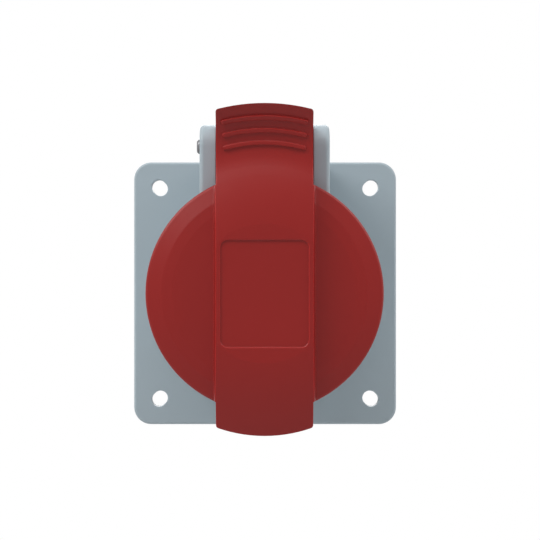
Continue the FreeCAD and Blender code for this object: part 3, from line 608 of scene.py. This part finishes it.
@dataclass(frozen=True)
class TurnedMetal:
    """A bare metal with fine tool marks round its own axis."""

    name: str
    colour: Colour
    other: Colour
    axis: TurningAxis
    gloss: float = 0.28
    tint_scale: float = 120.0
    mark_depth: float = 0.00001
    mark_strength: float = 0.4
    edge_radius: float = 0.0002

    def build(self, effects: Effects) -> bpy.types.Material:
        """Make the material.

        Args:
            effects: The shared node groups.

        Returns:
            The material.
        """
        material, tree, shader = new_material(self.name)
        flow = place_group(
            tree, effects.mottle, Colour=self.colour, Other=self.other, Scale=self.tint_scale
        )
        marks = place_group(
            tree, effects.tool_marks, Gloss=self.gloss, Stretch=self.axis.value
        )
        edge = place_group(tree, effects.round_edge, Radius=self.edge_radius)
        bump = add_node(
            tree, "ShaderNodeBump", Strength=self.mark_strength, Distance=self.mark_depth,
            Height=marks.outputs["Height"], Normal=edge.outputs["Normal"],
        )
        put(tree, shader, "Base Color", flow.outputs["Colour"])
        put(tree, shader, "Metallic", 1.0)
        put(tree, shader, "Roughness", marks.outputs["Roughness"])
        put(tree, shader, "Normal", bump.outputs["Normal"])
        return material


class Finishes:
    """Every finish of the socket, each of which is built once."""

    def __init__(self, effects: Effects) -> None:
        """Build the finishes.

        Args:
            effects: The shared node groups.
        """
        # The third colour of each plastic is the colour of its painted edge highlight.
        self.red = MouldedPlastic(
            "lid_red_plastic", from_screen(148, 26, 22), from_screen(145, 24, 20),
            from_screen(205, 40, 36), edge_radius=0.0006, highlight_share=0.9,
        ).build(effects)
        self.grey = MouldedPlastic(
            "housing_grey_plastic", from_screen(171, 184, 191), from_screen(168, 181, 188),
            from_screen(214, 230, 240), Sheen.SOFT, highlight_share=0.7,
        ).build(effects)
        self.black = MouldedPlastic(
            "insert_dark_plastic", from_screen(58, 60, 63), from_screen(54, 56, 60),
            from_screen(84, 86, 90), Sheen.SOFT, edge_radius=0.0003,
        ).build(effects)
        self.rubber = SealRubber(
            "seal_rubber", from_screen(44, 44, 45), from_screen(56, 56, 57)
        ).build(effects)
        self.pin_steel = TurnedMetal(
            "pin_steel", from_screen(128, 129, 131), from_screen(116, 117, 120),
            TurningAxis.ACROSS,
        ).build(effects)
        self.wire_steel = TurnedMetal(
            "spring_wire_steel", from_screen(186, 187, 190), from_screen(172, 174, 178),
            TurningAxis.NONE, gloss=0.24,
        ).build(effects)
        self.screw_steel = TurnedMetal(
            "screw_steel", from_screen(204, 205, 206), from_screen(192, 193, 196),
            TurningAxis.DEEP, gloss=0.32,
        ).build(effects)
        self.brass = TurnedMetal(
            "contact_brass", from_screen(214, 186, 118), from_screen(203, 172, 104),
            TurningAxis.DEEP,
        ).build(effects)


def dress(node: str, material: bpy.types.Material) -> bpy.types.Object:
    """Give a CAD node its material.

    Args:
        node: The node's name.
        material: The finish.

    Returns:
        The node's object.
    """
    piece = frame["nodes"][node]
    piece.data.materials.clear()
    piece.data.materials.append(material)
    LOG.info("%s dressed in %s", node, material.name)
    return piece


def new_piece(
    name: str,
    rings: Sequence[Sequence[Vector]],
    material: bpy.types.Material,
    closed_run: bool = False,
) -> bpy.types.Object:
    """Join rings of points into one smooth skin, with its ends filled.

    Args:
        name: The piece's name.
        rings: Rings that all have the same number of points, in order along the piece.
        material: The finish.
        closed_run: Whether the last ring joins the first, which leaves no ends.

    Returns:
        The new object.
    """
    build = bmesh.new()
    skin = [[build.verts.new(point) for point in ring] for ring in rings]
    count = len(rings[0])
    pairs = list(zip(skin, skin[1:]))
    if closed_run:
        pairs.append((skin[-1], skin[0]))
    for ahead, behind in pairs:
        for index in range(count):
            after = (index + 1) % count
            build.faces.new((ahead[index], ahead[after], behind[after], behind[index]))
    if not closed_run:
        build.faces.new(skin[0])
        build.faces.new(list(reversed(skin[-1])))
    bmesh.ops.recalc_face_normals(build, faces=build.faces)
    for face in build.faces:
        face.smooth = True
    mesh = bpy.data.meshes.new(name)
    build.to_mesh(mesh)
    build.free()
    mesh.set_sharp_from_angle(angle=SHARP_ANGLE)
    mesh.materials.append(material)
    piece = bpy.data.objects.new(name, mesh)
    bpy.context.scene.collection.objects.link(piece)
    return piece


def tube_rings(
    line: Sequence[Vector],
    radius: float,
    sides: int,
    cap_angles: Sequence[float] = (80, 55, 28),
) -> list[list[Vector]]:
    """Rings round a line, turned as little as they can be, with both ends rounded off.

    Args:
        line: The tube's middle line.
        radius: The tube's radius.
        sides: Points in a ring.
        cap_angles: Where the rings of a rounded end lie, in degrees, from its tip.

    Returns:
        The rings in order.
    """
    tangents = []
    for index in range(len(line)):
        before = line[max(index - 1, 0)]
        after = line[min(index + 1, len(line) - 1)]
        tangents.append((after - before).normalized())
    side = tangents[0].orthogonal().normalized()
    stations = []
    for point, along in zip(line, tangents):
        side = (side - along * side.dot(along)).normalized()
        stations.append((point, along, side.copy(), 1.0))
    cap = [math.radians(angle) for angle in cap_angles]
    point, along, across, _ = stations[0]
    start = [
        (point - along * radius * math.sin(tilt), along, across, math.cos(tilt))
        for tilt in cap
    ]
    point, along, across, _ = stations[-1]
    end = [
        (point + along * radius * math.sin(tilt), along, across, math.cos(tilt))
        for tilt in reversed(cap)
    ]
    turns = [2 * math.pi * step / sides for step in range(sides)]
    rings = []
    for point, along, across, share in start + stations + end:
        other = along.cross(across)
        rings.append([
            point + radius * share * (across * math.cos(turn) + other * math.sin(turn))
            for turn in turns
        ])
    return rings


@dataclass
class Housing:
    """The grey moulding of flange, collar and hinge bracket, and the seal behind the flange."""

    def build(self, finishes: Finishes) -> None:
        """Dress the housing and its flange seal.

        Args:
            finishes: The socket's finishes.
        """
        dress("housing", finishes.grey)
        dress("flange_seal", finishes.rubber)


@dataclass
class Hinge:
    """The pin and the closing spring on it, whose coil winds up as the lid opens.

    Angles are seen along the pin: 0 is straight back, and 90 is straight up.
    """

    wire_radius: float = 0.00065
    coil_radius: float = 0.0039
    coil_half_span: float = 0.0036
    coil_angle: float = 30.0
    start_angle: float = 150.0
    end_angle: float = 95.0
    whole_turns: int = 3
    heel_angle: float = -60.0
    toe_angle: float = 175.0
    leg_to_tab: float = 0.012
    leg_shares: tuple[float, ...] = (0.25, 0.5, 0.75, 1.0)
    collar_radius: float = 0.0355
    clear: float = 0.00015
    blend_half_span: float = 0.00295
    steps_a_turn: int = 32
    sides: int = 16

    @staticmethod
    def way(angle: float) -> Vector:
        """A unit vector square to the pin.

        Args:
            angle: Its angle in degrees.

        Returns:
            The vector.
        """
        turn = math.radians(angle)
        return Vector((0, math.cos(turn), math.sin(turn)))

    def pin_place(self) -> Vector:
        """Find where the lid turns.

        Returns:
            The middle of the pin.
        """
        return Vector(frame["joints"][0]["pos_m"])

    def coil_line(self) -> list[Vector]:
        """Trace the wire's middle line from the leg on the collar to the leg behind the tab.

        Returns:
            The line's points.
        """
        pin = self.pin_place()
        turns = self.whole_turns + (self.start_angle - self.end_angle) / 360
        out = self.way(self.coil_angle)
        on = self.way(self.coil_angle + 90)
        count = round(turns * self.steps_a_turn)
        coil = []
        for step in range(count + 1):
            turn = 2 * math.pi * turns * step / count
            across = -self.coil_half_span + 2 * self.coil_half_span * step / count
            spoke = self.coil_radius * (out * math.cos(turn) + on * math.sin(turn))
            coil.append(pin + Vector((across, 0, 0)) + spoke)
        heel_way = self.way(self.heel_angle)
        toe_way = self.way(self.toe_angle)
        collar_height = math.sqrt(self.collar_radius**2 - self.coil_half_span**2)
        rest = collar_height + self.wire_radius + self.clear
        heel_length = (coil[0].z - rest) / -heel_way.z
        heel = [coil[0] + heel_way * heel_length * share for share in reversed(self.leg_shares)]
        toe = [coil[-1] + toe_way * self.leg_to_tab * share for share in self.leg_shares]
        return heel + coil + toe

    def build_spring(self, finishes: Finishes) -> bpy.types.Object:
        """Wind the spring between the housing and the lid, in place of the plain one.

        Args:
            finishes: The socket's finishes.

        Returns:
            The spring.
        """
        rings = tube_rings(self.coil_line(), self.wire_radius, self.sides)
        spring = new_piece("closing_spring", rings, finishes.wire_steel)
        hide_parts("lid_spring")
        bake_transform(spring)
        LOG.info("%s wound with %d points", spring.name, len(spring.data.vertices))
        return spring

    def build(self, finishes: Finishes) -> None:
        """Dress the pin and make the spring.

        Args:
            finishes: The socket's finishes.
        """
        dress("hinge_pin", finishes.pin_steel)
        self.build_spring(finishes)


@dataclass
class Lid:
    """The red lid, with the ribs that give a thumb hold on its tab.

    The lid's own axis is the middle of its disc, and the scoop is the tab's hollow front face,
    which is turned round that axis.
    """

    axis_rise: float = 0.00067
    back: float = -0.0474
    scoop_radius: float = 0.01864
    scoop_away: float = 0.04459
    scoop_centre: float = 0.02631
    rib_away: float = 0.053
    rib_pitch: float = 0.0038
    rib_count: int = 3
    rib_half_length: float = 0.0132
    rib_half_step: float = 0.0003
    rib_half_width: float = 0.00065
    rib_height: float = 0.000745
    rib_sunk: float = 0.0003
    rib_end: float = 0.0006
    rib_squareness: float = 10.0
    rib_steps: int = 24
    rib_end_shares: tuple[float, ...] = (0.0, 0.3, 0.55, 0.75, 0.9, 0.98)
    rib_section_points: int = 29

    def on_scoop(self, away: float, turn: float) -> Vector:
        """Find a point of the scoop.

        Args:
            away: Distance from the lid's own axis.
            turn: Angle from straight up, to the right.

        Returns:
            The point.
        """
        drop = math.sqrt(self.scoop_radius**2 - (away - self.scoop_away) ** 2)
        height = self.scoop_centre - drop
        rise = self.axis_rise + away * math.cos(turn)
        return Vector((away * math.sin(turn), self.back - height, rise))

    def scoop_normal(self, away: float, turn: float) -> Vector:
        """Find which way the scoop faces at a point.

        Args:
            away: Distance from the lid's own axis.
            turn: Angle from straight up, to the right.

        Returns:
            The normal, out of the plastic.
        """
        out = Vector((math.sin(turn), 0, math.cos(turn)))
        past = away - self.scoop_away
        slope = past / math.sqrt(self.scoop_radius**2 - past**2)
        return (Vector((0, -1, 0)) - slope * out).normalized()

    def rib_section(self) -> list[tuple[float, float]]:
        """Outline a bead, from its upper foot over its top to its lower foot, and then below.

        Returns:
            Shares of the half width and of the height.
        """
        power = 2 / self.rib_squareness
        section = []
        for step in range(self.rib_section_points):
            angle = math.pi * step / (self.rib_section_points - 1)
            across = math.copysign(abs(math.cos(angle)) ** power, math.cos(angle))
            section.append((across, abs(math.sin(angle)) ** power))
        sunk = -self.rib_sunk / self.rib_height
        return section + [(-1.0, sunk), (1.0, sunk)]

    def rib_stations(self, half: float) -> list[float]:
        """Choose where the bead's sections lie, closer together at its rounded ends.

        Args:
            half: Half the bead's length.

        Returns:
            The places in order, from left to right.
        """
        straight = half - self.rib_end
        ends = [straight + self.rib_end * share for share in self.rib_end_shares]
        middle = [straight * step / self.rib_steps for step in range(self.rib_steps)]
        return sorted([-place for place in middle[1:] + ends] + middle + ends)

    def build_rib(self, number: int, finishes: Finishes) -> bpy.types.Object:
        """Lay one bead round the tab, with rounded ends.

        Args:
            number: Which rib, counted from the tab's end inwards.
            finishes: The socket's finishes.

        Returns:
            The bead.
        """
        away = self.rib_away - self.rib_pitch * number
        half = self.rib_half_length - self.rib_half_step * number
        rings = []
        for place in self.rib_stations(half):
            past = max(abs(place) - (half - self.rib_end), 0.0) / self.rib_end
            share = math.sqrt(1 - past**2)
            turn = math.asin(place / away)
            normal = self.scoop_normal(away, turn)
            rings.append([
                self.on_scoop(away + self.rib_half_width * share * across, turn)
                + normal * self.rib_height * (share * up if up > 0 else up)
                for across, up in self.rib_section()
            ])
        rib = new_piece(f"tab_rib_{number + 1}", rings, finishes.red)
        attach(rib, Body.LID.value)
        LOG.info("%s laid", rib.name)
        return rib

    def build(self, finishes: Finishes) -> None:
        """Dress the lid and lay its ribs.

        Args:
            finishes: The socket's finishes.
        """
        dress("lid", finishes.red)
        for number in range(self.rib_count):
            self.build_rib(number, finishes)


@dataclass
class LidSeal:
    """The ring of rubber in the lid, with two round lips that close on the collar's rim."""

    lip_height: float = 0.0005
    play: float = 0.00002
    lip_points: int = 17
    steps: int = 180

    @staticmethod
    def ring_width() -> float:
        """Measure the seal's plain solid from bore to rim, by its points.

        Returns:
            The width.
        """
        low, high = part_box("lid_seal")
        middle = (low + high) / 2
        away = [
            math.hypot(vertex.co.x - middle.x, vertex.co.z - middle.z)
            for vertex in frame["nodes"]["lid_seal"].data.vertices
        ]
        return max(away) - min(away)

    def section(self) -> list[tuple[float, float]]:
        """Outline the seal, from its bore along its back to its rim, and back over the lips.

        Returns:
            Distances from the seal's axis, and depths.
        """
        low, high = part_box("lid_seal")
        outer = (high.x - low.x) / 2 - self.play
        width = self.ring_width() - 2 * self.play
        section = [(outer - width, low.y), (outer, low.y)]
        for step in range(self.lip_points):
            share = step / (self.lip_points - 1)
            rise = abs(math.sin(2 * math.pi * share)) * self.lip_height
            section.append((outer - width * share, high.y - self.lip_height + rise))
        return section

    def build(self, finishes: Finishes) -> bpy.types.Object:
        """Turn the seal and hang it on the lid in place of its plain solid.

        Args:
            finishes: The socket's finishes.

        Returns:
            The seal.
        """
        low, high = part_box("lid_seal")
        middle = (low + high) / 2
        section = self.section()
        rings = []
        for step in range(self.steps):
            turn = 2 * math.pi * step / self.steps
            across = math.sin(turn)
            up = math.cos(turn)
            rings.append([
                Vector((middle.x + radius * across, deep, middle.z + radius * up))
                for radius, deep in section
            ])
        seal = new_piece("lid_seal_lips", rings, finishes.rubber, closed_run=True)
        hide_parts("lid_seal")
        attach(seal, Body.LID.value)
        LOG.info("%s turned", seal.name)
        return seal


@dataclass
class Insert:
    """The dark insert in the collar, with its contacts, clips and screws."""

    def build(self, finishes: Finishes) -> None:
        """Dress the insert and everything that it carries.

        Args:
            finishes: The socket's finishes.
        """
        dress("insert_flange", finishes.black)
        dress("clamp_screws", finishes.screw_steel)
        dress("insert_screws", finishes.screw_steel)
        for pole in Pole:
            dress(f"carrier_{pole.value}", finishes.black)
            dress(f"terminal_{pole.value}", finishes.black)
            dress(f"contact_{pole.value}", finishes.brass)
            dress(f"contact_clip_{pole.value}", finishes.screw_steel)


@dataclass(frozen=True)
class Lamp:
    """A square soft lamp, placed by the way it is seen from the object."""

    name: str
    azimuth: float
    elevation: float
    size: float
    power: float
    distance: float = 1.0

    def build(self, aim: Vector) -> None:
        """Hang the lamp and turn it to the object.

        Args:
            aim: The point that it faces.
        """
        data = bpy.data.lights.new(self.name, "AREA")
        data.size = self.size
        data.energy = self.power
        azimuth = math.radians(self.azimuth)
        elevation = math.radians(self.elevation)
        way = Vector((
            math.sin(azimuth) * math.cos(elevation),
            -math.cos(azimuth) * math.cos(elevation),
            math.sin(elevation),
        ))
        lamp = bpy.data.objects.new(self.name, data)
        lamp.location = aim + way * self.distance
        lamp.rotation_mode = "QUATERNION"
        lamp.rotation_quaternion = way.to_track_quat("Z", "Y")
        bpy.context.scene.collection.objects.link(lamp)


@dataclass
class Studio:
    """A pale floor, a white surround and soft lamps round the object."""

    floor_drop: float = 0.30
    floor_reach: float = 3.0
    floor_colour: Colour = (0.75, 0.75, 0.75)
    shadow_reach: tuple[float, float] = (0.4, 1.1)
    shadow_white: float = 0.75
    surround: float = 0.19
    aim: Point = (0.0, -0.03, 0.0)
    lamps: tuple[Lamp, ...] = (
        Lamp("key_lamp", -45, 40, 0.5, 3.0),
        Lamp("top_lamp", 0, 60, 0.5, 2.05),
        Lamp("left_lamp", -95, 12, 0.7, 0.2),
        Lamp("right_lamp", 95, 12, 0.7, 0.9),
        Lamp("upper_right_lamp", 75, 40, 0.6, 3.8),
        Lamp("upper_left_lamp", -75, 40, 0.6, 3.7),
        Lamp("front_lamp", 0, 0, 0.7, 0.1),
        Lamp("rear_lamp", 180, 25, 0.7, 3.5),
    )

    @staticmethod
    def seen_rays(tree: bpy.types.NodeTree) -> bpy.types.NodeSocket:
        """Tell a ray of the camera, of gloss or of glass from the rest.

        Args:
            tree: The tree that the nodes go into.

        Returns:
            One for such a ray, and nothing for the rest.
        """
        rays = tree.nodes.new("ShaderNodeLightPath").outputs
        gloss = math_node(tree, "MAXIMUM", rays["Is Glossy Ray"], rays["Is Transmission Ray"])
        return math_node(tree, "MAXIMUM", rays["Is Camera Ray"], gloss)

    def build_world(self) -> None:
        """Light the room softly, and show white to the camera and in gloss."""
        world = bpy.data.worlds.new("studio")
        bpy.context.scene.world = world
        world.use_nodes = True
        tree = world.node_tree
        tree.nodes.clear()
        felt = add_node(tree, "ShaderNodeBackground", Color=WHITE, Strength=self.surround)
        seen = add_node(tree, "ShaderNodeBackground", Color=WHITE, Strength=1.0)
        mixed = mix_shaders(tree, self.seen_rays(tree), felt, seen)
        add_node(tree, "ShaderNodeOutputWorld", Surface=mixed)

    def floor_white(self, tree: bpy.types.NodeTree) -> bpy.types.NodeSocket:
        """How white the floor shows: pale near the object, and pure white further off.

        Args:
            tree: The tree that the nodes go into.

        Returns:
            The share of white.
        """
        away = vector_node(tree, "LENGTH", object_place(tree))
        near, far = self.shadow_reach
        fade = add_node(
            tree, "ShaderNodeMapRange", Value=away.outputs["Value"],
            From_Min=near, From_Max=far, To_Min=self.shadow_white, To_Max=1.0,
        )
        return fade.outputs["Result"]

    def build_floor(self) -> bpy.types.Object:
        """Lay the floor well below the object, which hangs on a panel.

        Returns:
            The floor.
        """
        mesh = bpy.data.meshes.new("floor")
        reach = self.floor_reach
        corners = [(-reach, -reach), (reach, -reach), (reach, reach), (-reach, reach)]
        mesh.from_pydata([(x, y, -self.floor_drop) for x, y in corners], [], [(0, 1, 2, 3)])
        floor = bpy.data.objects.new("floor", mesh)
        bpy.context.scene.collection.objects.link(floor)
        material = bpy.data.materials.new("pale_floor")
        material.use_nodes = True
        tree = material.node_tree
        tree.nodes.clear()
        plain = add_node(tree, "ShaderNodeBsdfDiffuse", Color=self.floor_colour)
        bright = add_node(tree, "ShaderNodeEmission", Color=WHITE, Strength=1.0)
        shown = math_node(tree, "MULTIPLY", self.seen_rays(tree), self.floor_white(tree))
        mixed = mix_shaders(tree, shown, plain, bright)
        add_node(tree, "ShaderNodeOutputMaterial", Surface=mixed)
        mesh.materials.append(material)
        return floor

    def build(self) -> None:
        """Build the room, the floor and the lamps."""
        self.build_world()
        self.build_floor()
        for lamp in self.lamps:
            lamp.build(Vector(self.aim))
        LOG.info("studio lit by %d lamps", len(self.lamps))


@dataclass
class PhotoCamera:
    """The camera that stands straight in front of the socket."""

    place: Point = (0.00163, -0.5355, 0.00774)
    lens: float = 106.37
    sensor: float = 36.0
    near: float = 0.01
    far: float = 20.0

    def build(self) -> bpy.types.Object:
        """Make the camera and give it to the scene.

        Returns:
            The camera.
        """
        data = bpy.data.cameras.new("photo_camera")
        data.lens = self.lens
        data.sensor_width = self.sensor
        data.clip_start = self.near
        data.clip_end = self.far
        camera = bpy.data.objects.new("photo_camera", data)
        camera.location = self.place
        camera.rotation_euler = (math.pi / 2, 0.0, 0.0)
        bpy.context.scene.collection.objects.link(camera)
        bpy.context.scene.camera = camera
        return camera


def main() -> None:
    """Build every part of the scene in order and report it."""
    logging.basicConfig(level=logging.INFO, format="%(name)s: %(message)s")
    bpy.context.scene.view_settings.view_transform = "Standard"
    PhotoCamera().build()
    Studio().build()
    finishes = Finishes(Effects())
    for assembly in (Housing(), Hinge(), Lid(), LidSeal(), Insert()):
        assembly.build(finishes)
        LOG.info("%s built", type(assembly).__name__)


if __name__ == "__main__":
    main()
